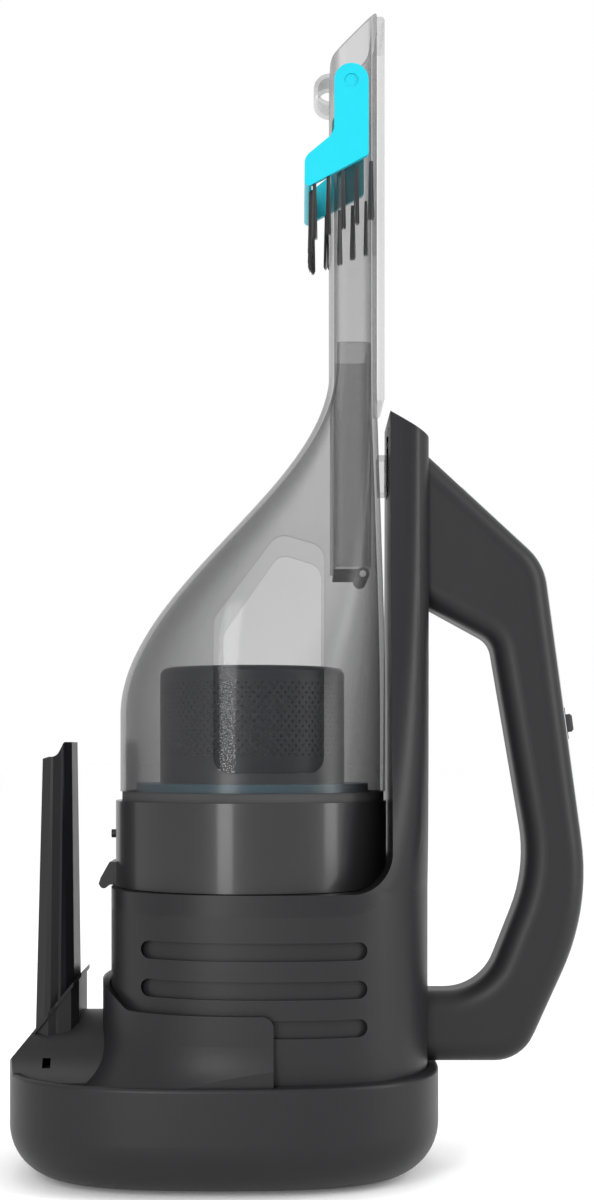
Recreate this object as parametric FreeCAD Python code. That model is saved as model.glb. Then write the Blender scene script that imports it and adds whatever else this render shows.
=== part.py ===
import FreeCAD, Part
import math
import os

os.makedirs("parts", exist_ok=True)
V = FreeCAD.Vector

# Handheld vacuum standing in its charging base, nozzle up. Millimetres.
# +X points from the crevice tool to the handle, +Z up from the table, and the halves meet at Y = 0.

# ---- clearances and walls ----
seat_gap = 0.5        # between a lift-off piece and what it sits in
part_gap = 0.3        # between faces that move past each other
pin_gap = 0.05        # radial clearance of a pin in its hole
housing_wall = 2.4
handle_wall = 3.8
bowl_wall = 2.0
base_wall = 3.0

# ---- nozzle and dust bowl ----
tip_height = 431.1
bowl_x = -16.7        # axis of the bowl
bowl_radius = 50.3
bowl_bottom = 142.5
shoulder_height = 171.0
neck_height = 301.0
nozzle_front = 12.3
nozzle_back = 29.9
nozzle_half_width = 23.0
nozzle_squareness = 6.0
mouth_angle = 45.0    # slope of the mouth, from level
bowl_sections = 10
top_plate_thickness = 2.6
top_plate_end = 287.5

# ---- side window ----
window_front = -29.8
window_back = 9.7
window_bottom = 149.6
window_shoulder = 205.0
window_top = 236.4
window_peak_x = -7.0
window_corner = 6.0
window_proud = 0.5

# ---- collar ring under the bowl, and its seal ----
ring_bottom = 107.0
ring_top = 139.0
ring_radius = 51.3
ring_x = -17.4
ring_wall = 2.2
ring_corner = 14.0    # rounded lower rear corner, where the spine sweeps under the bowl
seal_radius = 49.6
tilt_bead_radius = 1.6    # round bead on the front catch that the bowl tilts on
tilt_bead_reach = 2.6
tilt_bead_rise = 0.6

# ---- filter ----
filter_x = -17.0
filter_radius = 35.0
filter_top = 189.0
filter_wall = 1.4
pleat_count = 24
pleat_outer = 30.0
pleat_inner = 24.0
filter_rim_radius = 44.0
filter_rim_height = 6.5

# ---- motor housing ----
body_x = -10.35
body_half_length = 59.7
body_half_width = 54.0
body_squareness = 2.5
body_bottom = 14.0
spine_back = body_x + body_half_length
spine_front = 34.4
spine_half_width = 23.0
spine_top = 284.0
spine_top_drop = 29.4      # slope of the spine's top face, in degrees
spine_taper = 2.5
spine_sections = 8
cradle_back = 45.3
cradle_floor = 8.0
cradle_corner = 30.0
intake_radius = 18.0

# ---- side grooves ----
groove_count = 3
groove_pitch = 13.6
groove_top = 83.5
groove_height = 6.4
groove_front = -56.0
groove_back = 25.0
groove_depth = 1.8

# ---- handle ----
handle_half_width = 14.0
handle_edge_round = 8.0
handle_root_x = 40.0
handle_root_z = 277.4
shoulder_x = 93.0
shoulder_z = 228.4
heel_x = 110.7
heel_z = 98.2
toe_x = 84.7
handle_bottom = 41.0
grip_top_x = 73.3
grip_top_z = 198.7
grip_heel_x = 87.9
grip_heel_z = 112.9
grip_toe_x = 69.9
opening_bottom = 67.4
opening_top = 214.0
strip_half_width = 5.0
strip_thickness = 1.4
strip_proud = 0.5

# ---- switch, release button and latch ----
switch_z = 168.0
switch_length = 12.0
switch_half_width = 3.4
switch_travel = 5.0
switch_proud = 3.4
button_length = 11.0
button_half_width = 8.0
button_thickness = 5.0
button_travel = 2.5
button_proud = 1.2
latch_z = 263.0
latch_height = 9.0
latch_half_width = 6.0
latch_travel = 2.6
tooth_height = 3.0

# ---- inside the housing ----
motor_radius = 17.5
motor_bottom = 43.0
motor_top = 84.0
shaft_radius = 1.6
impeller_radius = 33.0
impeller_base_z = 88.6
impeller_height = 7.0
blade_count = 9
shroud_radius = 38.0
shroud_top = 98.0
shroud_wall = 1.6
cell_radius = 9.1
cell_length = 65.0
cell_count = 5
cell_circle = 36.0
holder_height = 5.0

# ---- inlet duct, flap and brush ----
duct_bottom = 226.0
duct_wall = 1.4
flap_thickness = 1.6
flap_pin_radius = 1.2
brush_pivot_x = 20.0
brush_pivot_z = 403.6
brush_arm_half = 6.3
brush_arm_thickness = 2.6
brush_reach = 17.2       # how far the brush's bridge stands in front of its pivot
brush_rim_front = 366.5
brush_rim_back = 380.5
bristle_length = 22.0
bristle_radius = 1.1
brush_pin_radius = 2.5

# ---- charging base ----
base_x = -27.2
base_half_length = 80.4
base_half_width = 62.0
base_squareness = 2.7
base_rim = 40.0
base_round = 19.0
base_floor = 2.2
collar_top = 64.5
collar_lip = 72.6
collar_lip_x = -61.0
collar_end = -8.2
collar_wall = 2.6
hump_top = 59.3
hump_radius = 30.0
tray_depth = 3.6
tray_rim = 3.4
flare_height = 19.0
flare_reach = 9.0
rim_round = 1.4
tool_front = -98.2
tool_back = -83.0
tool_half_width = 18.0
tool_foot = 30.0
tool_top = 161.0
tool_wall = 1.6
tool_lean = 3.0
tool_taper = 1.6
ridge_share = 0.42        # where the tool's ridge stands, from its front
sleeve_wall = 1.1
sleeve_slope = 51.0
sleeve_start = 41.6       # height where the slanted rim meets the base's front edge
sleeve_high = 75.5
bead_height = 1.7
bead_proud = 0.9
slot_width = 3.0
foot_radius = 6.0
foot_height = 0.8
base_shell_wall = 4.5
plate_lap = 1.0           # how far the opening for the plate stays inside the rounded bottom
plate_rise = 3.2          # top of the plate above the foot of the base
screw_reach = 50.0
screw_side = 25.0
foot_reach = 36.0
foot_side = 28.0
wall_hole_spacing = 80.0
wall_hole_radius = 2.2
contact_spacing = 24.0
contact_radius = 2.0
contact_travel = 1.5
jack_bore = 2.8
jack_depth = 9.0
jack_wall = 1.2
jack_height = 8.4


# ---------------------------------------------------------------- helpers
def save(shape, name, merge=True):
    """Write one piece as a STEP file."""
    merged = shape.copy().removeSplitter() if merge else shape
    if merged.isValid():
        shape = merged
    shape.exportStep("parts/" + name + ".step")
    print(name, len(shape.Solids), round(shape.Volume, 1), shape.isValid())


def box(x0, x1, y0, y1, z0, z1):
    return Part.makeBox(x1 - x0, y1 - y0, z1 - z0, V(x0, y0, z0))


def post(x, y, z0, z1, radius):
    return Part.makeCylinder(radius, z1 - z0, V(x, y, z0))


def tube(x, y, z0, z1, outer, inner):
    return post(x, y, z0, z1, outer).cut(post(x, y, z0 - 1, z1 + 1, inner))


def rod_y(x, z, y0, y1, radius):
    return Part.makeCylinder(radius, y1 - y0, V(x, y0, z), V(0, 1, 0))


def oval_points(x0, x1, half_width, squareness, z, count=24):
    """Points of a superellipse between x0 and x1."""
    centre = (x0 + x1) / 2
    half_length = (x1 - x0) / 2
    points = []
    for step in range(count):
        angle = 2 * math.pi * (step + 0.5) / count
        across = math.cos(angle)
        along = math.sin(angle)
        reach = (abs(across) ** squareness + abs(along) ** squareness) ** (-1 / squareness)
        points.append(V(centre + half_length * reach * across, half_width * reach * along, z))
    return points


def oval_wire(x0, x1, half_width, squareness, z):
    curve = Part.BSplineCurve()
    curve.interpolate(oval_points(x0, x1, half_width, squareness, z), PeriodicFlag=True)
    return Part.Wire(curve.toShape())


def oval_prism(x0, x1, half_width, squareness, z0, z1):
    return Part.Face(oval_wire(x0, x1, half_width, squareness, z0)).extrude(V(0, 0, z1 - z0))


def rounded_outline(corners):
    """Closed wire in the XZ plane through (x, z, radius) corners, each rounded by its radius."""
    count = len(corners)
    starts = []
    ends = []
    middles = []
    for index in range(count):
        x, z, radius = corners[index]
        before = corners[index - 1]
        after = corners[(index + 1) % count]
        here = V(x, 0, z)
        to_before = (V(before[0], 0, before[1]) - here).normalize()
        to_after = (V(after[0], 0, after[1]) - here).normalize()
        half_angle = to_before.getAngle(to_after) / 2
        setback = radius / math.tan(half_angle)
        bisector = (to_before + to_after).normalize()
        starts.append(here + to_before * setback)
        ends.append(here + to_after * setback)
        middles.append(here + bisector * (radius / math.sin(half_angle) - radius))
    edges = []
    for index in range(count):
        if corners[index][2] > 0:
            edges.append(Part.Arc(starts[index], middles[index], ends[index]).toShape())
        edges.append(Part.LineSegment(ends[index], starts[(index + 1) % count]).toShape())
    return Part.Wire(edges)


def side_prism(corners, y0, y1):
    """A rounded outline in the XZ plane, extruded from y0 to y1."""
    face = Part.Face(rounded_outline(corners))
    face.translate(V(0, y0, 0))
    return face.extrude(V(0, y1 - y0, 0))


def ease(share):
    """Smooth rise from 0 to 1."""
    share = min(max(share, 0.0), 1.0)
    return (1 - math.cos(math.pi * share)) / 2


# ---------------------------------------------------------------- dust bowl and nozzle
def bowl_section(z, growth):
    """One level of the bowl: round at the seam, easing to the nozzle's squarish section."""
    share = ease((z - shoulder_height) / (neck_height - shoulder_height))
    front = bowl_x - bowl_radius
    front += share * (nozzle_front - front)
    back = bowl_x + bowl_radius
    back += share * (nozzle_back - back)
    half_width = bowl_radius + share * (nozzle_half_width - bowl_radius)
    squareness = 2 + share * (nozzle_squareness - 2)
    return oval_wire(front - growth, back + growth, half_width + growth, squareness, z)


def bowl_solid(growth, bottom):
    """Bowl and nozzle as one solid, up to the level of the tip."""
    skirt = Part.Face(bowl_section(bottom, growth)).extrude(V(0, 0, shoulder_height - bottom))
    levels = []
    for step in range(bowl_sections + 1):
        levels.append(shoulder_height + (neck_height - shoulder_height) * step / bowl_sections)
    body = Part.makeLoft([bowl_section(z, growth) for z in levels], True)
    neck = Part.Face(bowl_section(neck_height, growth)).extrude(V(0, 0, tip_height - neck_height))
    return skirt.fuse([body, neck])


def mouth_cutter():
    """Everything in front of the slanted mouth."""
    cutter = box(-100, 100, -100, 100, 0, 100)
    cutter.rotate(V(0, 0, 0), V(0, 1, 0), -mouth_angle)
    cutter.translate(V(nozzle_back, 0, tip_height))
    return cutter


def window_corners(shrink):
    return [
        (window_front + shrink, window_bottom + shrink, window_corner),
        (window_front + shrink, window_shoulder, window_corner),
        (window_peak_x, window_top - shrink, window_corner),
        (window_back - shrink, window_top - shrink - 5, window_corner),
        (window_back - shrink, window_bottom + shrink, window_corner),
    ]


mouth = mouth_cutter()
bowl_outside = bowl_solid(0, bowl_bottom).cut(mouth)
bowl_inside = bowl_solid(-bowl_wall, bowl_bottom - 5).cut(mouth)
bowl_inside = bowl_inside.fuse(bowl_solid(-bowl_wall, bowl_bottom - 5).common(mouth))
bowl_wall_solid = bowl_outside.cut(bowl_inside)

top_plate = box(nozzle_back - 1, nozzle_back + top_plate_thickness, -nozzle_half_width + 4,
                nozzle_half_width - 4, top_plate_end, tip_height - 1.5)
top_plate = top_plate.makeChamfer(0.8, [edge for edge in top_plate.Edges
                                        if edge.CenterOfMass.x > nozzle_back + top_plate_thickness - 0.1])
save(top_plate.cut(bowl_outside), "nozzle_top_plate")

lug_half_width = latch_half_width + 2
lug_low = latch_z - 8
lug_high = latch_z + 6
lug_end = spine_front + 2.6
pocket_start = spine_front - 0.9
pocket_half_width = latch_half_width - 1
pocket_low = latch_z - tooth_height / 2 - 2.5
pocket_high = latch_z + tooth_height / 2 + part_gap
latch_hole = box(pocket_start, spine_front + 10, -pocket_half_width, pocket_half_width, pocket_low, pocket_high)
latch_lug = [
    box(bowl_x + bowl_radius - 6, pocket_start, -lug_half_width, lug_half_width, lug_low,
        lug_high).cut(bowl_outside),
    box(pocket_start, lug_end, -lug_half_width, lug_half_width, lug_low, pocket_low),
    box(pocket_start, lug_end, -lug_half_width, lug_half_width, pocket_high, lug_high),
    box(pocket_start, lug_end, -lug_half_width, -pocket_half_width, pocket_low, pocket_high),
    box(pocket_start, lug_end, pocket_half_width, lug_half_width, pocket_low, pocket_high),
]
bowl_shell = bowl_wall_solid.cut(rod_y(brush_pivot_x, brush_pivot_z, -60, 60, brush_pin_radius))
windows = bowl_solid(window_proud, bowl_bottom).cut(bowl_inside)
for side, name in ((-1, "window_left"), (1, "window_right")):
    low, high = sorted((side * 12, side * 70))
    bowl_shell = bowl_shell.cut(side_prism(window_corners(0), low, high))
    save(windows.common(side_prism(window_corners(0), low, high)), name)
save(bowl_shell.cut(latch_hole), "bowl_shell")
save(Part.makeCompound([block.cut(bowl_outside) for block in latch_lug]), "bowl_lug", merge=False)

# Inlet duct: from the nozzle down the back of the bowl, open at its lower end
duct_outer = box(nozzle_front + 0.5, nozzle_back - bowl_wall - 0.3, -nozzle_half_width + bowl_wall + 0.8,
                 nozzle_half_width - bowl_wall - 0.8, duct_bottom, neck_height + 8)
duct_outer = duct_outer.makeFillet(4, [edge for edge in duct_outer.Edges if edge.Length > 60])
duct_inner = box(nozzle_front + 0.5 + duct_wall, nozzle_back - bowl_wall - 0.3 - duct_wall,
                 -nozzle_half_width + bowl_wall + 0.8 + duct_wall,
                 nozzle_half_width - bowl_wall - 0.8 - duct_wall, duct_bottom - 1, neck_height + 9)
duct_inner = duct_inner.makeFillet(3, [edge for edge in duct_inner.Edges if edge.Length > 60])
duct_limit = bowl_solid(-bowl_wall - 0.15, bowl_bottom)
save(duct_outer.cut(duct_inner).common(duct_limit), "inlet_duct")

# Flap that closes the duct's lower end, on a pin behind it
flap_z = duct_bottom - part_gap - flap_pin_radius - 1.2
flap_pin_x = nozzle_back - bowl_wall - 3.5
flap_half = nozzle_half_width - bowl_wall - 3
flap = box(nozzle_front + 1.5, flap_pin_x, -flap_half, flap_half, flap_z + 0.2, flap_z + 0.2 + flap_thickness)
flap = flap.fuse(rod_y(flap_pin_x, flap_z, -flap_half, flap_half, flap_pin_radius + 1.3))
flap = flap.cut(rod_y(flap_pin_x, flap_z, -50, 50, flap_pin_radius + pin_gap))
save(flap, "inlet_flap")
save(rod_y(flap_pin_x, flap_z, -flap_half - 2, flap_half + 2, flap_pin_radius), "flap_pin")

# Small bumper that stops the brush, on the nozzle's front wall
bumper = rod_y(nozzle_front, brush_pivot_z + 3, -8, 8, 6).cut(rod_y(nozzle_front, brush_pivot_z + 3, -9, 9, 4.4))
bumper = bumper.common(box(-50, nozzle_front, -9, 9, 0, 500))
bumper.translate(V(-0.02, 0, 0))
save(bumper, "nozzle_bumper")


# ---------------------------------------------------------------- ring under the bowl
def ring_prism(growth, x_front, y_limit):
    """Side outline of the ring, with its rounded lower rear corner."""
    corners = [
        (x_front, ring_bottom - growth, 0),
        (spine_front - part_gap + growth, ring_bottom - growth, ring_corner + growth),
        (spine_front - part_gap + growth, 600, 0),
        (x_front, 600, 0),
    ]
    return side_prism(corners, -y_limit, y_limit)


ring_body = post(ring_x, 0, ring_bottom, ring_top, ring_radius)
ring_body = ring_body.common(ring_prism(0, -150, 90))
ring_hollow = post(ring_x, 0, ring_bottom + 3, ring_top + 1, ring_radius - ring_wall)
ring_hollow = ring_hollow.common(ring_prism(-ring_wall, -150, 90))
lower_ring = ring_body.cut(ring_hollow)
lower_ring = lower_ring.cut(post(filter_x, 0, ring_bottom - 1, ring_bottom + 4, intake_radius))
save(lower_ring, "lower_ring")
seal = tube(bowl_x, 0, ring_top, bowl_bottom, seal_radius, seal_radius - 5)
save(seal, "bowl_seal")

tab_x = body_x - body_half_length
catch_tab = side_prism([(tab_x - 4.6, ring_bottom + 0.4, 0.3), (ring_x - ring_radius + 1.5, ring_bottom + 0.4, 0),
                        (ring_x - ring_radius + 1.5, ring_bottom + 9, 0), (tab_x - 0.4, ring_bottom + 9, 0.6),
                        (tab_x - 3.8, ring_bottom + 3, 0.3)], -9, 9)
catch_tab = catch_tab.fuse(rod_y(tab_x - tilt_bead_reach, ring_bottom + tilt_bead_rise, -9, 9, tilt_bead_radius))
catch_tab = catch_tab.cut(post(ring_x, 0, ring_bottom - 1, ring_top, ring_radius))
save(catch_tab, "front_catch")
stud = Part.makeCylinder(1.6, 3.4, V(ring_x - ring_radius - 1.8, 0, 126.3), V(1, 0, 0))
save(stud.cut(post(ring_x, 0, ring_bottom, ring_top, ring_radius)), "ring_stud")


# ---------------------------------------------------------------- filter
cage = post(filter_x, 0, ring_top + filter_rim_height, filter_top, filter_radius)
cage = cage.makeFillet(3, [edge for edge in cage.Edges if edge.CenterOfMass.z > filter_top - 0.1
                           and edge.Length > 100])
cage = cage.cut(post(filter_x, 0, ring_top, filter_top - filter_wall, filter_radius - filter_wall))
save(cage, "filter_cage")
rim = tube(filter_x, 0, ring_top + 0.02, ring_top + filter_rim_height, filter_rim_radius, pleat_outer + 0.3)
save(rim, "filter_rim")
pleat_points = []
for step in range(2 * pleat_count):
    radius = pleat_outer if step % 2 else pleat_inner
    angle = math.pi * step / pleat_count
    pleat_points.append(V(filter_x + radius * math.cos(angle), radius * math.sin(angle), ring_top + 1))
pleat_points.append(pleat_points[0])
pleats = Part.Face(Part.makePolygon(pleat_points)).extrude(V(0, 0, filter_top - ring_top - 6))
pleats = pleats.cut(post(filter_x, 0, ring_top - 1, filter_top - 9, pleat_inner - 3))
save(pleats, "filter_pleats")
save(tube(filter_x, 0, ring_bottom + 3, ring_bottom + 6, intake_radius + 6, intake_radius), "intake_seal")


# ---------------------------------------------------------------- motor housing, spine and handle
def spine_section(z, growth):
    """Level of the housing above its rim: eases from the body's oval to the narrow spine."""
    share = (z - ring_bottom) / (spine_top - ring_bottom)
    keep = (1 - min(share, 1.0)) ** spine_taper
    half_width = spine_half_width + keep * (body_half_width - spine_half_width)
    front = body_x - body_half_length + 80 * (1 - keep)
    squareness = body_squareness + 2.5 * (1 - keep)
    return oval_wire(front - growth, spine_back + growth, half_width + growth, squareness, z)


def housing_envelope(growth, bottom):
    low = body_x - body_half_length - growth
    base = oval_prism(low, spine_back + growth, body_half_width + growth, body_squareness, bottom, ring_bottom)
    levels = []
    for step in range(spine_sections + 1):
        levels.append(ring_bottom + (spine_top - ring_bottom) * step / spine_sections)
    return base.fuse(Part.makeLoft([spine_section(z, growth) for z in levels], True))


def above_ring(growth):
    """Space of the ring and bowl above the housing, with the rounded corner of the sweep."""
    corners = [
        (-200, ring_bottom - part_gap + growth, 0),
        (spine_front + growth, ring_bottom - part_gap + growth, ring_corner + part_gap),
        (spine_front + growth, 600, 0),
        (-200, 600, 0),
    ]
    return side_prism(corners, -90, 90)


def cradle_prism():
    """Side outline of the band: along the spine, round the corner and under the ring."""
    corners = [
        (-200, ring_bottom - cradle_floor, 0),
        (cradle_back, ring_bottom - cradle_floor, cradle_corner),
        (cradle_back, 600, 0),
        (-200, 600, 0),
    ]
    return side_prism(corners, -90, 90)


def above_spine_top():
    """Everything above the spine's slanted top face."""
    cutter = box(-60, 200, -90, 90, 0, 300)
    cutter.rotate(V(0, 0, 0), V(0, 1, 0), spine_top_drop)
    cutter.translate(V(spine_front, 0, spine_top - 1.0))
    return cutter


def handle_corners():
    return [
        (handle_root_x, handle_root_z, 0),
        (shoulder_x, shoulder_z, 22),
        (heel_x, heel_z, 90),
        (toe_x, handle_bottom, 16),
        (handle_root_x, handle_bottom, 0),
    ]


def opening_corners(left):
    return [
        (left, opening_top, 0),
        (grip_top_x, grip_top_z, 9),
        (grip_heel_x, grip_heel_z, 60),
        (grip_toe_x, opening_bottom, 20),
        (left, opening_bottom, 0),
    ]


slant = math.radians(spine_top_drop)
top_normal = V(math.sin(slant), 0, math.cos(slant))
top_along = V(math.cos(slant), 0, -math.sin(slant))
top_corner = V(spine_front, 0, spine_top - 1.0)
button_centre = top_corner + top_along * 7.4


def on_top_face(length, half_width, low, high):
    """Block on the spine's slanted top, from low to high along the face's normal."""
    block = box(-length / 2, length / 2, -half_width, half_width, low, high)
    block.rotate(V(0, 0, 0), V(0, 1, 0), spine_top_drop)
    block.translate(button_centre)
    return block


handle_outline = rounded_outline(handle_corners())
handle = side_prism(handle_corners(), -handle_half_width, handle_half_width)
handle = handle.cut(side_prism(opening_corners(spine_back - 4), -60, 60))
long_edges = []
for edge in handle.Edges:
    centre = edge.CenterOfMass
    if abs(abs(centre.y) - handle_half_width) < 0.01 and centre.x > spine_back - 3:
        long_edges.append(edge)
handle = handle.makeFillet(handle_edge_round, long_edges)

envelope = housing_envelope(0, body_bottom)
pocket = above_ring(0)
housing = envelope.fuse(handle).cut(pocket)
housing = housing.cut(above_spine_top())
cradle = envelope.common(cradle_prism()).cut(pocket).cut(above_spine_top())
housing = housing.cut(cradle_prism().common(housing_envelope(2, body_bottom)))

# Hollows of the housing
chamber = oval_prism(body_x - body_half_length + housing_wall, spine_back - housing_wall,
                     body_half_width - housing_wall, body_squareness,
                     body_bottom + housing_wall, ring_bottom - cradle_floor)
housing = housing.cut(chamber)
grip = Part.Face(handle_outline)
grip = grip.cut(Part.Face(rounded_outline(opening_corners(handle_root_x))))
grip_hollow = grip.Faces[0].makeOffset2D(-handle_wall).extrude(V(0, 2 * (handle_half_width - handle_wall), 0))
grip_hollow.translate(V(0, -(handle_half_width - handle_wall), 0))
housing = housing.cut(grip_hollow.common(box(spine_back - 1.6, 300, -50, 50, 0, 400)))

# Grooves along each side
for index in range(groove_count):
    z = groove_top - index * groove_pitch
    groove = side_prism([(groove_front, z, groove_height * 0.49), (groove_back, z, groove_height * 0.49),
                         (groove_back, z + groove_height, groove_height * 0.49),
                         (groove_front, z + groove_height, groove_height * 0.49)], -90, 90)
    skin = oval_prism(body_x - body_half_length + groove_depth, spine_back - groove_depth,
                      body_half_width - groove_depth, body_squareness, 0, 200)
    housing = housing.cut(groove.cut(skin))

# Silver strip let into the back of the handle
back_band = Part.Face(handle_outline.makeOffset2D(strip_proud))
back_band = back_band.cut(Part.Face(handle_outline.makeOffset2D(strip_proud - strip_thickness)))
strip = back_band.extrude(V(0, 2 * strip_half_width, 0))
strip.translate(V(0, -strip_half_width, 0))
strip = strip.common(box(60, 300, -50, 50, handle_bottom + 10, shoulder_z + 29))
housing = housing.cut(strip)

# Power switch on the handle's back, sliding along it
back_lean = math.atan2(heel_x - shoulder_x, shoulder_z - heel_z)
switch_x = shoulder_x + (shoulder_z - switch_z) * math.tan(back_lean)


def on_handle_back(low, high, half_width, inner, outer):
    """Block along the handle's back, from inner to outer across it."""
    block = box(inner, outer, -half_width, half_width, low, high)
    block.rotate(V(0, 0, 0), V(0, 1, 0), -math.degrees(back_lean))
    block.translate(V(switch_x, 0, switch_z))
    return block


switch_slot = on_handle_back(-switch_length / 2 - part_gap, switch_length / 2 + switch_travel + part_gap,
                             switch_half_width + part_gap, -handle_wall - 1, 5)
strip = strip.cut(switch_slot)
housing = housing.cut(switch_slot)
slider = on_handle_back(-switch_length / 2, switch_length / 2, switch_half_width, -2.6, strip_proud + 0.5)
thumb_ridge = on_handle_back(-3.4, 3.4, switch_half_width, strip_proud, switch_proud)
thumb_ridge = thumb_ridge.makeChamfer(0.8, [edge for edge in thumb_ridge.Edges if edge.Length < 8
                                            and edge.CenterOfMass.x > switch_x + 2])
stem = on_handle_back(-2, 2, 1.5, -handle_wall - 3, -2)
save(slider.fuse([thumb_ridge, stem]), "power_switch")
save(strip, "handle_strip")
switch_body = on_handle_back(-10, 12, 5.5, -handle_wall - 9, -handle_wall - 0.6)
switch_body = switch_body.cut(on_handle_back(-2.6, 2.6 + switch_travel, 2.2, -handle_wall - 4, 0))
save(switch_body, "switch_body")

# Release button on the spine's slanted top, and the latch below it
button_well = on_top_face(button_length + 2 * part_gap, button_half_width + part_gap,
                          -button_thickness - button_travel, 5)
release_button = on_top_face(button_length, button_half_width, -button_thickness + button_proud, button_proud)
release_button = release_button.makeFillet(0.9, [edge for edge in release_button.Edges
                                                 if (edge.CenterOfMass - button_centre).dot(top_normal)
                                                 > button_proud - 0.1])
save(release_button, "release_button")
latch_room = box(spine_front + 4.2, spine_back - 2.2, -latch_half_width - 1, latch_half_width + 1,
                 latch_z - latch_height, latch_z + latch_height - 1)
latch = box(spine_front + 4.6, spine_front + 9.4, -latch_half_width, latch_half_width,
            latch_z - latch_height / 2, latch_z + latch_height / 2)
tooth = box(spine_front + 0.9, spine_front + 4.7, -latch_half_width + 2, latch_half_width - 2,
            latch_z - tooth_height / 2, latch_z + tooth_height / 2)
save(latch.fuse(tooth), "release_latch")
lug_pocket = box(spine_front - 1, spine_front + 3.2, -latch_half_width - 2.5, latch_half_width + 2.5,
                 latch_z - 9, latch_z + 11)
tooth_way = box(spine_front, spine_front + 5, -latch_half_width + 1.6, latch_half_width - 1.6,
                latch_z - tooth_height / 2 - 0.4, latch_z + tooth_height / 2 + 0.4)
cradle = cradle.cut([button_well, latch_room, lug_pocket, tooth_way])
housing = housing.cut([button_well, latch_room])
cradle = cradle.cut(post(filter_x, 0, 0, ring_bottom + 5, intake_radius))
save(cradle, "bowl_cradle")

# Holes for the charge pads and the screws, then the two halves
for side in (-1, 1):
    housing = housing.cut(post(body_x, side * contact_spacing / 2, 0, 30, 4.1))
screw_places = [(60.0, 240.0), (76.0, 52.0), (100.0, 112.0)]
for x, z in screw_places:
    housing = housing.fuse(rod_y(x, z, -handle_half_width + 2, handle_half_width - 2, 3.2).common(
        grip_hollow.common(box(spine_back - 1.6, 300, -50, 50, 0, 400))))
for x, z in screw_places:
    housing = housing.cut(rod_y(x, z, -8, 20, 1.5))
    housing = housing.cut(rod_y(x, z, handle_half_width - 3.0, 40, 3.1))
save(housing.common(box(-300, 300, -100, 0, -10, 500)), "housing_left")
save(housing.common(box(-300, 300, 0, 100, -10, 500)), "housing_right")
screws = []
for x, z in screw_places:
    screw = rod_y(x, z, -6, handle_half_width - 2.9, 1.45).fuse(
        rod_y(x, z, handle_half_width - 2.95, handle_half_width - 1.2, 2.9))
    slot = box(x - 2, x + 2, handle_half_width - 2.0, handle_half_width, z - 0.4, z + 0.4)
    cross = box(x - 0.4, x + 0.4, handle_half_width - 2.0, handle_half_width, z - 2, z + 2)
    screws.append(screw.cut([slot, cross]))
save(Part.makeCompound(screws), "housing_screws")


# ---------------------------------------------------------------- inside the housing
floor_z = body_bottom + housing_wall
cells = []
sockets = []
links = []
for index in range(cell_count):
    angle = math.pi + 2 * math.pi * index / cell_count
    x = body_x + cell_circle * math.cos(angle)
    y = cell_circle * math.sin(angle)
    cell = post(x, y, floor_z + 1.6, floor_z + 1.6 + cell_length, cell_radius)
    cells.append(cell.makeFillet(1.0, cell.Edges))
    sockets.append(post(x, y, floor_z + 1.5, floor_z + 20, cell_radius + 0.2))
    tab = box(-4, 4, -4, 4, floor_z + 1.65 + cell_length, floor_z + 1.95 + cell_length)
    tab.translate(V(x, y, 0))
    links.append(tab)
save(Part.makeCompound(cells), "battery_cells")
holder = post(body_x, 0, floor_z + 0.1, floor_z + holder_height, cell_circle + cell_radius + 1.5)
holder = holder.cut(sockets).cut(post(body_x, 0, 0, 60, motor_radius + 1))
save(holder, "battery_holder")
save(Part.makeCompound(links), "cell_links")

motor = post(body_x, 0, motor_bottom, motor_top, motor_radius)
motor = motor.makeFillet(1.5, [edge for edge in motor.Edges if edge.Length > 100])
motor = motor.cut(post(body_x, 0, 0, 200, shaft_radius + pin_gap))
vent_count = 8
for index in range(vent_count):
    vent = box(motor_radius - 2, motor_radius + 2, -2, 2, motor_top - 14, motor_top - 6)
    vent.rotate(V(0, 0, 0), V(0, 0, 1), 360 * index / vent_count)
    vent.translate(V(body_x, 0, 0))
    motor = motor.cut(vent)
save(motor, "motor")
shaft = post(body_x, 0, motor_bottom - 3, impeller_base_z + impeller_height - 1, shaft_radius)
save(shaft, "motor_shaft")
bracket_top = motor_top + 3.2
bracket = post(body_x, 0, motor_top + 0.1, bracket_top, shroud_radius + 6)
bracket = bracket.cut(post(body_x, 0, 0, 200, 7))
for index in range(vent_count):
    angle = 2 * math.pi * (index + 0.5) / vent_count
    bracket = bracket.cut(post(body_x + 28 * math.cos(angle), 28 * math.sin(angle), 0, 200, 6.5))
save(bracket, "motor_bracket")
shroud = tube(body_x, 0, bracket_top, shroud_top, shroud_radius, shroud_radius - shroud_wall)
shroud = shroud.fuse(tube(body_x, 0, shroud_top - shroud_wall, shroud_top, shroud_radius, 14))
save(shroud, "fan_shroud")
fan = post(body_x, 0, impeller_base_z, impeller_base_z + 1.4, impeller_radius)
fan = fan.fuse(post(body_x, 0, impeller_base_z, impeller_base_z + impeller_height, 6))
blades = []
for index in range(blade_count):
    curve = tube(body_x + 16, -12, impeller_base_z + 1.2, impeller_base_z + impeller_height, 21.0, 19.8)
    curve = curve.common(box(body_x + 4, body_x + impeller_radius - 3, -2, 30, 0, 200))
    curve.rotate(V(body_x, 0, 0), V(0, 0, 1), 360 * index / blade_count)
    blades.append(curve)
fan = fan.fuse(blades)
fan = fan.common(post(body_x, 0, 0, 200, impeller_radius))
fan = fan.cut(post(body_x, 0, 0, 200, shaft_radius))
save(fan, "fan_impeller")
board_half = 9.0
board = box(body_x - board_half, body_x + board_half, -12, 12, floor_z + 6, floor_z + 7.6)
parts_on_board = [box(body_x - 6, body_x + 1, -8, -2, floor_z + 7.6, floor_z + 9.4),
                  post(body_x + 4, 6, floor_z + 7.6, floor_z + 14, 2.5)]
save(board.fuse(parts_on_board), "control_board")
pads = []
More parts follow.
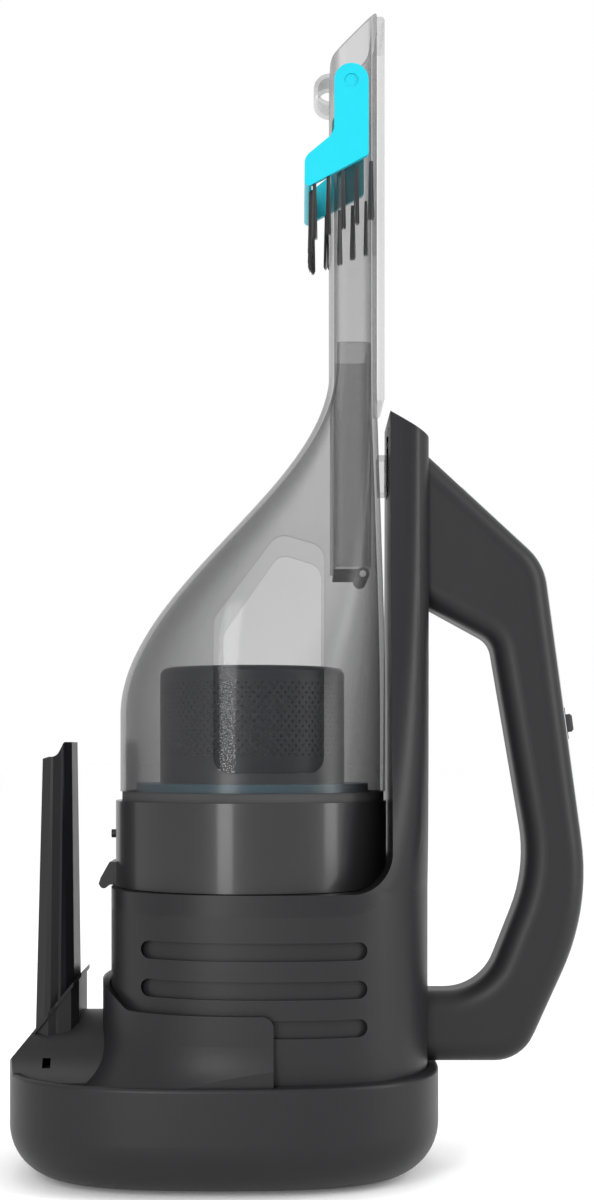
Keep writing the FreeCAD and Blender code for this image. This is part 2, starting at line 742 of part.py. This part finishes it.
for side in (-1, 1):
    pads.append(post(body_x, side * contact_spacing / 2, body_bottom - 0.05, floor_z + 1.0, 4.0))
save(Part.makeCompound(pads), "charge_pads")


# ---------------------------------------------------------------- brush
def brush_side(growth):
    """Side outline of the brush: an arm over the pivot, and a rim that reaches in front."""
    arm_front = brush_pivot_x - brush_arm_half
    arm_back = brush_pivot_x + brush_arm_half
    bridge = brush_pivot_x - brush_reach
    return [
        (arm_front - growth, brush_pivot_z + brush_arm_half + growth, brush_arm_half - 0.1),
        (arm_back + growth, brush_pivot_z + brush_arm_half + growth, brush_arm_half - 0.1),
        (arm_back + growth, brush_rim_back - 4 - growth, 1.5),
        (bridge - growth, brush_rim_front - 2.5 - growth, 1.5),
        (bridge - growth, brush_rim_back - 5 + growth, 5),
        (arm_front - growth, brush_rim_back + 4, 6),
    ]


arm_inner = nozzle_half_width + part_gap + 0.2
arm_outer = arm_inner + brush_arm_thickness
frame_block = side_prism(brush_side(0), -arm_outer, arm_outer)
frame_block = frame_block.cut(box(brush_pivot_x - brush_reach + brush_arm_thickness, 200, -arm_inner, arm_inner,
                                  0, 600))
sweep = rod_y(brush_pivot_x, brush_pivot_z, -arm_inner, arm_inner,
              math.hypot(nozzle_back + top_plate_thickness - brush_pivot_x, tip_height - brush_pivot_z) + 0.8)
frame_block = frame_block.cut(sweep)
pin_holes = rod_y(brush_pivot_x, brush_pivot_z, -60, 60, brush_pin_radius + pin_gap)
brush_frame = frame_block.cut(pin_holes)
save(brush_frame, "brush_frame")
pins = []
for side in (-1, 1):
    low, high = sorted((side * (nozzle_half_width - bowl_wall + 0.2), side * (arm_outer - 0.4)))
    pins.append(rod_y(brush_pivot_x, brush_pivot_z, low, high, brush_pin_radius))
save(Part.makeCompound(pins), "brush_pins")
bristles = []
rim_slope = (brush_rim_back - brush_rim_front - 6) / (brush_reach + brush_arm_half)
for side in (-1, 1):
    for step in range(5):
        x = brush_pivot_x - brush_reach + 2.5 + step * 5.2
        z = brush_rim_front + (x - brush_pivot_x + brush_reach) * rim_slope
        y = side * (arm_inner + brush_arm_thickness / 2)
        bristles.append(post(x, y, z - bristle_length, z - 0.2, bristle_radius))
for step in range(7):
    y = -18 + step * 6
    x = brush_pivot_x - brush_reach + 1.4
    bristles.append(post(x, y, brush_rim_front - bristle_length, brush_rim_front - 0.3, bristle_radius))
save(Part.makeCompound([bristle.cut(brush_frame) for bristle in bristles]), "brush_bristles")


# ---------------------------------------------------------------- charging base
def base_outline(inset, z0, z1):
    return oval_prism(base_x - base_half_length + inset, base_x + base_half_length - inset,
                      base_half_width - inset, base_squareness, z0, z1)


def body_space(growth, z0, z1):
    """The housing's own outline, grown, as the socket it stands in."""
    return oval_prism(body_x - body_half_length - growth, body_x + body_half_length + growth,
                      body_half_width + growth, body_squareness, z0, z1)


def tool_outline(z, growth):
    """One level of the crevice tool: a ridge and a groove down each side, tapering to the tip."""
    share = (z - tool_foot) / (tool_top - tool_foot)
    front = tool_front + share * tool_lean - growth
    back = tool_back - share * tool_taper + growth
    half_width = tool_half_width - share * 2.5 + growth
    ridge = front + (back - front) * ridge_share
    corners = [
        (front, half_width - 5.0), (front + 3.5, half_width - 1.6), (ridge, half_width),
        (ridge + 2.6, half_width - 1.4), (ridge + 3.6, half_width - 1.0), (back - 2.5, half_width - 2.4),
        (back, half_width - 6.5),
    ]
    points = [V(x, -y, z) for x, y in corners]
    points += [V(x, y, z) for x, y in reversed(corners)]
    return Part.Wire(Part.makePolygon(points + [points[0]]).Edges)


def tool_socket(growth, z0, z1):
    """Straight hole the size of the tool's foot, so that the foot can be drawn out of it."""
    return Part.Face(tool_outline(tool_foot, growth)).extrude(V(0, 0, z1 - z0)).translated(
        V(0, 0, z0 - tool_foot))


def tool_solid(growth, z0, z1):
    return Part.makeLoft([tool_outline(z0, growth), tool_outline(z1, growth)], True, True)


def above_sleeve(lift):
    """Everything above the sleeve's slanted rim, raised by lift."""
    cutter = box(-300, 300, -90, 90, 0, 200)
    cutter.rotate(V(0, 0, 0), V(0, 1, 0), -sleeve_slope)
    cutter.translate(V(base_x - base_half_length, 0, sleeve_start + lift))
    return cutter


def collar_flare():
    """Concave foot that sweeps from the deck up into the collar."""
    steps = 6
    levels = []
    for step in range(steps + 1):
        share = step / steps
        growth = seat_gap + collar_wall + flare_reach * (1 - share) ** 2.4
        z = base_rim - tray_depth - 1 + flare_height * share
        levels.append(oval_wire(body_x - body_half_length - growth, body_x + body_half_length + growth,
                                body_half_width + growth, body_squareness, z))
    return Part.makeLoft(levels, True)


def rounded_foot(inset, z0):
    """The base's body with its rounded bottom edge, shrunk by inset all round."""
    foot = base_outline(inset, z0, base_rim)
    return foot.makeFillet(base_round - inset, [edge for edge in foot.Edges if edge.CenterOfMass.z < z0 + 0.1])


jack_x = base_x + base_half_length - 12.0
jack_room = Part.makeCylinder(jack_bore + jack_wall + pin_gap, 26, V(jack_x - jack_depth - 2 - pin_gap, 0,
                                                                     jack_height), V(1, 0, 0))
bowl_foot = rounded_foot(0, foot_height).cut(jack_room)
front_half = box(-200, collar_end, -90, 90, 0, 200)
tray = base_outline(tray_rim, base_rim - tray_depth, base_rim + 1).common(front_half)
bowl_foot = bowl_foot.cut(tray)
rim_edges = []
for edge in bowl_foot.Edges:
    if abs(edge.BoundBox.ZMin - base_rim) < 0.01 and edge.Length > 40:
        rim_edges.append(edge)
bowl_foot = bowl_foot.makeFillet(rim_round, rim_edges)
socket_floor = body_bottom - part_gap
collar = body_space(seat_gap + collar_wall, base_rim - 5, collar_lip)
lip_cut = side_prism([(collar_lip_x, collar_top, 4), (60, collar_top, 0), (60, 200, 0), (-200, 200, 0),
                      (-200, collar_lip + 40, 0), (body_x - body_half_length - 2, collar_lip, 0)], -90, 90)
collar = collar.cut(lip_cut).fuse(collar_flare().common(base_outline(tray_rim - 0.5, 0, 200)))
collar_end_corner = side_prism([(-200, 0, 0), (collar_end, 0, 0), (collar_end, collar_top, 4),
                                (-200, collar_top, 0)], -90, 90)
collar = collar.common(collar_end_corner.fuse(box(-200, collar_lip_x + 5, -90, 90, 0, 200)))
hump = Part.makeCylinder(hump_radius, 90, V(-150, 0, hump_top - hump_radius), V(1, 0, 0))
hump = hump.common(box(-150, collar_lip_x, -90, 90, base_rim - tray_depth - 1, 200))
hump = hump.common(base_outline(0, 0, 200)).cut(above_sleeve(0))
sleeve = tool_socket(seat_gap + sleeve_wall, base_rim - 8, sleeve_high).cut(above_sleeve(0))
bead = tool_socket(seat_gap + sleeve_wall + bead_proud, base_rim, sleeve_high).cut(above_sleeve(0))
bead = bead.common(above_sleeve(-bead_height))
base = bowl_foot.fuse([collar, hump, sleeve, bead])
base = base.cut(body_space(seat_gap, socket_floor, 200))
base = base.cut(tool_socket(seat_gap, tool_foot - seat_gap, tool_top + 30))
for side in (-1, 1):
    low, high = sorted((side * (tool_half_width - 4), side * 40))
    ridge_x = tool_front + (tool_back - tool_front) * ridge_share
    base = base.cut(box(ridge_x - slot_width / 2, ridge_x + slot_width / 2, low, high,
                        base_rim + 1.5, base_rim + 5))
plate_top = foot_height + plate_rise
cavity = rounded_foot(base_shell_wall, foot_height + base_shell_wall)
base = base.cut(cavity.common(box(-200, 200, -90, 90, 0, socket_floor - base_floor)))
front_hollow = cavity.common(box(-200, body_x - body_half_length - 4, -90, 90, 0,
                                 base_rim - tray_depth - 2.4))
base = base.cut(front_hollow.cut(tool_solid(seat_gap + sleeve_wall + 1, tool_foot - sleeve_wall - 1, tool_top)))
base = base.cut(base_outline(base_round + plate_lap, foot_height - 1, foot_height + base_shell_wall + 1))
for side in (-1, 1):
    base = base.cut(post(body_x, side * contact_spacing / 2, socket_floor - base_floor - 1, socket_floor + 1,
                         contact_radius + part_gap))
save(base, "base_shell", merge=False)

plate = base_outline(base_round + plate_lap + part_gap, foot_height, plate_top - part_gap)
screw_spots = []
foot_spots = []
for end in (-1, 1):
    for side in (-1, 1):
        screw_spots.append((base_x + end * screw_reach, side * screw_side))
        foot_spots.append((base_x + end * foot_reach, side * foot_side))
base_screws = []
base_feet = []
for x, y in screw_spots:
    plate = plate.cut(post(x, y, -1, 20, 1.6)).cut(post(x, y, -1, foot_height + 1.6, 3.2))
    base_screws.append(post(x, y, foot_height + 0.3, foot_height + 1.55, 3.0).fuse(
        post(x, y, foot_height + 1.5, plate_top - part_gap, 1.5)))
for x, y in foot_spots:
    plate = plate.cut(post(x, y, -1, foot_height + 0.8, foot_radius + 0.1))
    pad = post(x, y, 0, foot_height + 0.8, foot_radius)
    base_feet.append(pad.makeFillet(0.6, [edge for edge in pad.Edges if edge.CenterOfMass.z < 0.1]))
for side in (-1, 1):
    plate = plate.cut(post(base_x + side * wall_hole_spacing / 2, 0, -1, 20, wall_hole_radius))
save(plate, "base_bottom_plate")
save(Part.makeCompound(base_screws), "base_screws")
save(Part.makeCompound(base_feet), "base_feet")

jack = Part.makeCylinder(jack_bore + jack_wall, jack_depth + 2, V(jack_x - jack_depth - 2, 0, jack_height),
                         V(1, 0, 0))
jack = jack.cut(Part.makeCylinder(jack_bore, jack_depth + 5, V(jack_x - jack_depth, 0, jack_height),
                                  V(1, 0, 0)))
save(jack, "dc_jack")
board_x = tool_back + 12
base_board = box(board_x - 2, board_x + 24, -15, 15, plate_top + 1, plate_top + 2.4)
base_board = base_board.fuse([box(board_x + 2, board_x + 8, -10, -4, plate_top + 2.4, plate_top + 4),
                              post(board_x + 14, 7, plate_top + 2.4, plate_top + 6.4, 2.5)])
save(base_board, "base_circuit_board")
contacts = []
springs = []
contact_top = body_bottom - 0.1
for side in (-1, 1):
    y = side * contact_spacing / 2
    pin = post(body_x, y, socket_floor - base_floor - 2.2, contact_top, contact_radius)
    pin = pin.makeFillet(0.8, [edge for edge in pin.Edges if edge.CenterOfMass.z > contact_top - 0.1
                               and edge.Length > 5])
    collar_disc = post(body_x, y, socket_floor - base_floor - 1.3, socket_floor - base_floor - 0.3, 3.2)
    contacts.append(pin.fuse(collar_disc))
    springs.append(tube(body_x, y, plate_top, socket_floor - base_floor - 1.3, 3.0, 2.2))
save(Part.makeCompound(contacts), "charging_contacts")
save(Part.makeCompound(springs), "contact_springs")


# ---------------------------------------------------------------- crevice tool
tool = tool_solid(0, tool_foot, tool_top)
tool = tool.cut(tool_solid(-tool_wall, tool_foot - 0.01, tool_top + 0.01))
tip_cut = side_prism([(tool_front - 5, tool_top - 8.5, 0), (tool_front + 5.5, tool_top - 5.5, 3),
                      (tool_front + 8.5, tool_top - 5.5, 3), (tool_front + 11.5, tool_top + 0.5, 0),
                      (tool_front + 11.5, tool_top + 20, 0), (tool_front - 5, tool_top + 20, 0)], -60, 60)
tool = tool.cut(tip_cut)
save(tool, "crevice_tool")
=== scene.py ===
import math
import random

import bmesh
import bpy
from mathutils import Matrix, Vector


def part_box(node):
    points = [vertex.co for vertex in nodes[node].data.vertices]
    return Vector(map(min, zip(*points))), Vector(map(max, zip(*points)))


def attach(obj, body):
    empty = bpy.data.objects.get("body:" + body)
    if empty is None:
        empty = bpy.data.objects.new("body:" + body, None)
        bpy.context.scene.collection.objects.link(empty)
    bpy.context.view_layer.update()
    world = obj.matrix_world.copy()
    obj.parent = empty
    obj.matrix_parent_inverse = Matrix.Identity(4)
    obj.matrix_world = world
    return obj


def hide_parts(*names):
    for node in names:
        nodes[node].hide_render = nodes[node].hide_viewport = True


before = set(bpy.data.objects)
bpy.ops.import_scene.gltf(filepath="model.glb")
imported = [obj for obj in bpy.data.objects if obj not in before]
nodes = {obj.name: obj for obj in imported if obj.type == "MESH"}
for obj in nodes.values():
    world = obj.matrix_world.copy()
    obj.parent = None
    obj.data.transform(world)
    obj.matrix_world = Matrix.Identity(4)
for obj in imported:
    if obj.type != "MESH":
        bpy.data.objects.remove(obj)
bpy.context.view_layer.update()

scene = bpy.context.scene
print("frame loaded:", len(nodes), "nodes")


class Field:                       # a value that changes over a surface
    def __init__(self, tree, socket):
        self.tree = tree
        self.socket = socket

    def maths(self, operation, first, second):
        return addNode(self.tree, "ShaderNodeMath", {"operation": operation}, {0: first, 1: second})

    def __add__(self, other):
        return self.maths("ADD", self, other)

    def __radd__(self, other):
        return self.maths("ADD", other, self)

    def __sub__(self, other):
        return self.maths("SUBTRACT", self, other)

    def __rsub__(self, other):
        return self.maths("SUBTRACT", other, self)

    def __mul__(self, other):
        return self.maths("MULTIPLY", self, other)

    def __rmul__(self, other):
        return self.maths("MULTIPLY", other, self)


def addNode(tree, kind, settings=None, sockets=None, output=0):
    made = tree.nodes.new(kind)
    for key, value in (settings or {}).items():
        if key == "stops":
            for index, (position, colour) in enumerate(value):
                if index > 1:
                    made.color_ramp.elements.new(position)
                made.color_ramp.elements[index].position = position
                made.color_ramp.elements[index].color = colour
        else:
            setattr(made, key, value)
    for key, value in (sockets or {}).items():
        if isinstance(value, Field):
            tree.links.new(value.socket, made.inputs[key])
        else:
            made.inputs[key].default_value = value
    return Field(tree, made.outputs[output]) if len(made.outputs) else None


def newMaterial(name):
    material = bpy.data.materials.new(name)
    material.use_nodes = True
    material.node_tree.nodes.clear()
    return material, material.node_tree


def place(tree):                   # the surface's own place, in metres
    return addNode(tree, "ShaderNodeTexCoord", output="Object")


def grain(tree, where, scale, detail=2.0, stretch=None):
    if stretch:
        where = addNode(tree, "ShaderNodeMapping", {}, {"Vector": where, "Scale": stretch})
    return addNode(tree, "ShaderNodeTexNoise", {}, {"Vector": where, "Scale": scale, "Detail": detail})


def shadeOf(tree, amount, dark, light):
    return addNode(tree, "ShaderNodeMix", {"data_type": "RGBA"},
                   {"Factor": amount, 6: (*dark, 1.0), 7: (*light, 1.0)}, output=2)


def finishSurface(material, tree, sockets, height=None, depth=0.0001, strength=0.5):
    if height is not None:
        sockets["Normal"] = addNode(tree, "ShaderNodeBump", {},
                                    {"Height": height, "Distance": depth, "Strength": strength})
    shader = addNode(tree, "ShaderNodeBsdfPrincipled", {}, sockets)
    addNode(tree, "ShaderNodeOutputMaterial", {}, {"Surface": shader})
    return material


def tinted(colour, factor):
    return tuple(min(1.0, part * factor) for part in colour)


def mouldedPlastic(name, colour, roughness=0.42, texture=2600.0, depth=0.00005, variation=0.12, coat=0.0):
    material, tree = newMaterial(name)
    where = place(tree)
    fine = grain(tree, where, texture, 3.0)
    broad = grain(tree, where, 22.0, 3.0)
    cloud = grain(tree, where, 140.0, 2.0)
    sockets = {
        "Base Color": shadeOf(tree, broad * 0.6 + cloud * 0.4, tinted(colour, 1 - variation),
                              tinted(colour, 1 + variation)),
        "Roughness": roughness - 0.05 + cloud * 0.06 + fine * 0.04,
        "Specular IOR Level": 0.20,
        "Coat Weight": coat,
        "Coat Roughness": 0.12,
    }
    return finishSurface(material, tree, sockets, fine, depth, 0.45)


def brushedMetal(name, colour, roughness=0.32, stretch=(60.0, 60.0, 1800.0)):
    material, tree = newMaterial(name)
    where = place(tree)
    lines = grain(tree, where, 1.0, 3.0, stretch)
    specks = grain(tree, where, 900.0, 2.0)
    sockets = {
        "Base Color": shadeOf(tree, lines, tinted(colour, 0.86), tinted(colour, 1.08)),
        "Roughness": roughness - 0.06 + lines * 0.12 + specks * 0.05,
        "Metallic": 1.0,
    }
    return finishSurface(material, tree, sockets, lines, 0.00003, 0.4)


smokeHeights = {"clearAbove": 0.25, "fullBelow": 0.14}    # the walls darken between these


def seeThrough(name, colour, alpha, edgeAlpha, roughness=0.12, smoke=0.0):
    # thicker where the wall turns away, as a moulded clear wall is
    material, tree = newMaterial(name)
    where = place(tree)
    flow = grain(tree, where, 30.0, 2.0)
    height = addNode(tree, "ShaderNodeSeparateXYZ", {}, {"Vector": where}, output=2)
    depthOfSmoke = addNode(tree, "ShaderNodeMapRange", {},
                           {0: height, 1: smokeHeights["clearAbove"], 2: smokeHeights["fullBelow"],
                            3: 0.0, 4: smoke})
    facing = addNode(tree, "ShaderNodeLayerWeight", {}, {"Blend": 0.35}, output="Facing")
    sockets = {
        "Base Color": shadeOf(tree, facing * 0.7 + flow * 0.3, colour, tinted(colour, 0.55)),
        "Roughness": roughness + flow * 0.04,
        "Alpha": alpha + facing * (edgeAlpha - alpha) + depthOfSmoke,
        "IOR": 1.46,
    }
    return finishSurface(material, tree, sockets)


def rubberSurface(name, colour):
    material, tree = newMaterial(name)
    where = place(tree)
    pebble = grain(tree, where, 1900.0, 2.0)
    dusty = grain(tree, where, 60.0, 3.0)
    sockets = {
        "Base Color": shadeOf(tree, dusty, colour, tinted(colour, 1.7)),
        "Roughness": 0.68 + dusty * 0.14,
    }
    return finishSurface(material, tree, sockets, pebble, 0.00008, 0.6)


def clothSurface(name, colour):
    material, tree = newMaterial(name)
    where = place(tree)
    fibres = grain(tree, where, 1.0, 4.0, (1500.0, 1500.0, 260.0))
    dust = grain(tree, where, 45.0, 4.0)
    sockets = {
        "Base Color": shadeOf(tree, dust * 0.6 + fibres * 0.4, tinted(colour, 0.7), tinted(colour, 1.1)),
        "Roughness": 0.85 + fibres * 0.1,
    }
    return finishSurface(material, tree, sockets, fibres, 0.0001, 0.6)


def boardSurface(name, colour):
    material, tree = newMaterial(name)
    where = place(tree)
    tracks = addNode(tree, "ShaderNodeTexBrick", {}, {"Vector": where, "Scale": 260.0, "Mortar Size": 0.03},
                     output=1)
    cloud = grain(tree, where, 200.0, 2.0)
    sockets = {
        "Base Color": shadeOf(tree, tracks * 0.5 + cloud * 0.2, colour, tinted(colour, 2.2)),
        "Roughness": 0.35 + cloud * 0.1,
    }
    return finishSurface(material, tree, sockets, tracks, 0.00003, 0.4)


finishes = {
    "housing": mouldedPlastic("satinHousing", (0.012, 0.012, 0.013), 0.42),
    "cradle": mouldedPlastic("smoothCradle", (0.010, 0.010, 0.011), 0.36, texture=3600.0, depth=0.00003),
    "base": mouldedPlastic("satinBase", (0.011, 0.011, 0.012), 0.42),
    "tool": mouldedPlastic("satinTool", (0.009, 0.009, 0.010), 0.40),
    "control": mouldedPlastic("softControl", (0.030, 0.030, 0.032), 0.48, texture=1800.0),
    "inside": mouldedPlastic("plainInside", (0.11, 0.11, 0.115), 0.5, texture=1500.0),
    "ring": mouldedPlastic("glossRing", (0.016, 0.016, 0.017), 0.34, texture=500.0, depth=0.00002, coat=0.25),
    "cage": mouldedPlastic("blackCage", (0.012, 0.013, 0.018), 0.36, texture=1200.0),
    # the filter rim is the cyan accent darkened with painted shade, standing in for the shadow it sits in
    # behind the cage
    "shadeDarkenedCyanRim": mouldedPlastic("shadeDarkenedCyanRim", (0.045, 0.14, 0.19), 0.3, texture=900.0),
    "cyan": mouldedPlastic("cyanSaddle", (0.0, 0.38, 0.47), 0.36, texture=2200.0, variation=0.05, coat=0.1),
    "cell": mouldedPlastic("cellWrap", (0.04, 0.22, 0.38), 0.25, texture=700.0, coat=0.4),
    "silver": brushedMetal("silverStrip", (0.62, 0.63, 0.65), 0.28),
    "steel": brushedMetal("plainSteel", (0.55, 0.55, 0.56), 0.35, (700.0, 700.0, 700.0)),
    "contact": brushedMetal("platedContact", (0.83, 0.68, 0.38), 0.25, (900.0, 900.0, 900.0)),
    "smoked": seeThrough("smokedBowl", (0.035, 0.035, 0.036), 0.19, 0.66, 0.24, 0.10),
    "clear": seeThrough("clearWindow", (0.030, 0.030, 0.031), 0.14, 0.55, 0.06),
    "plate": seeThrough("clearPlate", (0.30, 0.30, 0.305), 0.14, 0.70, 0.07),
    "duct": seeThrough("smokedDuct", (0.07, 0.07, 0.072), 0.24, 0.70, 0.22),
    "rubber": rubberSurface("mattRubber", (0.018, 0.018, 0.019)),
    "cloth": clothSurface("filterCloth", (0.78, 0.79, 0.79)),
    "board": boardSurface("circuitBoard", (0.015, 0.11, 0.045)),
}
nodeFinish = {
    "housing": ["housing_left", "housing_right"],
    "cradle": ["bowl_cradle", "release_button", "front_catch", "ring_stud"],
    "base": ["base_shell", "base_bottom_plate"],
    "tool": ["crevice_tool"],
    "control": ["power_switch", "switch_body", "dc_jack"],
    "inside": ["battery_holder", "motor_bracket", "fan_shroud", "fan_impeller", "release_latch"],
    "ring": ["lower_ring"],
    "cage": ["filter_cage"],
    "shadeDarkenedCyanRim": ["filter_rim"],
    "cyan": ["brush_frame", "brush_pins"],
    "cell": ["battery_cells"],
    "silver": ["handle_strip"],
    "steel": ["housing_screws", "base_screws", "motor", "motor_shaft", "flap_pin"],
    "contact": ["charging_contacts", "contact_springs", "charge_pads", "cell_links"],
    "smoked": ["bowl_shell", "bowl_lug"],
    "clear": ["window_left", "window_right"],
    "plate": ["nozzle_top_plate", "nozzle_bumper"],
    "duct": ["inlet_duct"],
    "rubber": ["base_feet", "bowl_seal", "intake_seal", "inlet_flap", "brush_bristles"],
    "cloth": ["filter_pleats"],
    "board": ["base_circuit_board", "control_board"],
}
for finishName, names in nodeFinish.items():
    for name in names:
        node = nodes[name]
        node.data.materials.clear()
        node.data.materials.append(finishes[finishName])
print("materials assigned")


# pieces shaped here stand in for the plain CAD ones
def finishPiece(mesh, name, finish, body, *replaced):
    data = bpy.data.meshes.new(name)
    bmesh.ops.recalc_face_normals(mesh, faces=mesh.faces)
    mesh.to_mesh(data)
    mesh.free()
    piece = bpy.data.objects.new(name, data)
    scene.collection.objects.link(piece)
    data.materials.append(finishes[finish])
    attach(piece, body)
    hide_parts(*replaced)
    return piece


def applyModifiers(piece):
    bpy.ops.object.select_all(action="DESELECT")
    piece.select_set(True)
    bpy.context.view_layer.objects.active = piece
    for modifier in list(piece.modifiers):
        bpy.ops.object.modifier_apply(modifier=modifier.name)


cage = {"axisX": -0.017, "radius": 0.035, "wall": 0.0012, "columns": 152, "firstHole": 0.1562,
        "holeRows": 16, "rowPitch": 0.00175, "holeReach": 0.00066, "topCorner": 0.003}


def makeCage():
    low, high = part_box("filter_cage")
    columns = cage["columns"]
    profile = [(cage["radius"], low[2])]
    for row in range(cage["holeRows"] + 2):
        profile.append((cage["radius"], cage["firstHole"] + (row - 1) * cage["rowPitch"]))
    for step in range(5):
        turn = math.radians(90 * step / 4)
        profile.append((cage["radius"] - cage["topCorner"] * (1 - math.cos(turn)),
                        high[2] - cage["topCorner"] * (1 - math.sin(turn))))
    mesh = bmesh.new()
    rings = []
    for radius, height in profile:
        rings.append([mesh.verts.new((cage["axisX"] + radius * math.cos(2 * math.pi * step / columns),
                                      radius * math.sin(2 * math.pi * step / columns), height))
                      for step in range(columns)])
    for lower, upper in zip(rings, rings[1:]):
        for step in range(columns):
            after = (step + 1) % columns
            mesh.faces.new((lower[step], lower[after], upper[after], upper[step]))
    mesh.faces.new(rings[-1])
    pierced = [rings[row + 2][step] for row in range(cage["holeRows"])
               for step in range(row % 2, columns, 2)]
    made = bmesh.ops.bevel(mesh, geom=pierced, offset=cage["holeReach"], offset_type="OFFSET", segments=2,
                           profile=0.5, affect="VERTICES")
    bmesh.ops.delete(mesh, geom=made["faces"], context="FACES")
    piece = finishPiece(mesh, "perforatedCage", "cage", "filter", "filter_cage")
    skin = piece.modifiers.new("wall", "SOLIDIFY")
    skin.thickness = cage["wall"]
    skin.offset = -1.0
    applyModifiers(piece)
    return piece


tuft = {"strands": 26, "spread": 0.0012, "thickness": 0.00017, "seed": 7}


def makeBristles():
    chance = random.Random(tuft["seed"])
    mesh = bmesh.new()
    source = nodes["brush_bristles"]
    sourcePoints = [source.matrix_world @ vertex.co for vertex in source.data.vertices]
    roots = []
    for point in sourcePoints:
        for root in roots:
            if math.hypot(point.x - root[0], point.y - root[1]) < 0.0024:
                root[2] = min(root[2], point.z)
                root[3] = max(root[3], point.z)
                break
        else:
            roots.append([point.x, point.y, point.z, point.z])
    for x, y, low, high in roots:
        for strand in range(tuft["strands"]):
            turn = chance.uniform(0, 2 * math.pi)
            reach = tuft["spread"] * math.sqrt(chance.random())
            top = Vector((x + 0.5 * reach * math.cos(turn), y + 0.5 * reach * math.sin(turn), high))
            tip = Vector((x + reach * math.cos(turn), y + reach * math.sin(turn),
                          low + chance.uniform(0, 0.0012)))
            ends = []
            for middle, size in ((top, tuft["thickness"]), (tip, tuft["thickness"] * 0.6)):
                ends.append([mesh.verts.new(middle + Vector((size * math.cos(math.pi * corner / 2),
                                                             size * math.sin(math.pi * corner / 2), 0)))
                             for corner in range(4)])
            for corner in range(4):
                after = (corner + 1) % 4
                mesh.faces.new((ends[0][corner], ends[0][after], ends[1][after], ends[1][corner]))
            mesh.faces.new(ends[0])
            mesh.faces.new(ends[1])
    print("tufts:", len(roots))
    return finishPiece(mesh, "bristleTufts", "rubber", "brush", "brush_bristles")


makeCage()
makeBristles()
print("pieces shaped")


studio = {
    "floorSize": 40.0, "floorGlow": 0.07,
    "distance": 0.703, "eyeHeight": 0.158, "lens": 55.4, "upShift": 0.125,
    "middle": (0.0, 0.0, 0.2),
    "boxes": [                       # name, place, size, power
        ("frontBox", (-0.45, -1.2, 0.5), (0.3, 1.1), 12.0),
        ("rightBox", (1.1, -0.4, 0.6), (0.3, 1.2), 10.0),
        ("topBox", (0.0, 0.1, 1.6), (0.9, 0.9), 3.0),
    ],
}


def makeFloor():
    bpy.ops.object.select_all(action="DESELECT")
    bpy.ops.mesh.primitive_plane_add(size=studio["floorSize"], location=(0, 0, 0))
    floor = bpy.context.object
    floor.name = "studioFloor"
    material, tree = newMaterial("paleFloor")
    where = place(tree)
    mottle = grain(tree, where, 9.0, 3.0)
    sockets = {
        "Base Color": shadeOf(tree, mottle, (0.90, 0.90, 0.90), (0.94, 0.94, 0.94)),
        "Roughness": 0.7 + mottle * 0.1,
        "Emission Color": (1.0, 1.0, 1.0, 1.0),
        "Emission Strength": studio["floorGlow"],
    }
    floor.data.materials.append(finishSurface(material, tree, sockets))


def addSoftbox(name, location, target, size, power):
    light = bpy.data.lights.new(name, "AREA")
    light.shape = "RECTANGLE"
    light.size, light.size_y = size
    light.energy = power
    lamp = bpy.data.objects.new(name, light)
    scene.collection.objects.link(lamp)
    lamp.location = location
    lamp.rotation_euler = (Vector(target) - Vector(location)).to_track_quat("-Z", "Y").to_euler()


def lightStudio():
    world = bpy.data.worlds.new("studioAir")
    scene.world = world
    world.use_nodes = True
    world.node_tree.nodes["Background"].inputs["Color"].default_value = (1.0, 1.0, 1.0, 1.0)
    world.node_tree.nodes["Background"].inputs["Strength"].default_value = 1.0
    for name, location, size, power in studio["boxes"]:
        addSoftbox(name, location, studio["middle"], size, power)


def placeCamera():
    camera = bpy.data.cameras.new("productCamera")
    camera.lens = studio["lens"]
    camera.sensor_width = 36.0
    camera.sensor_fit = "AUTO"
    camera.shift_y = studio["upShift"]
    holder = bpy.data.objects.new("productCamera", camera)
    scene.collection.objects.link(holder)
    holder.location = (0.0, -studio["distance"], studio["eyeHeight"])
    holder.rotation_euler = (math.radians(90), 0, 0)
    scene.camera = holder


makeFloor()
lightStudio()
placeCamera()
scene.view_settings.view_transform = "Standard"
print("studio set")
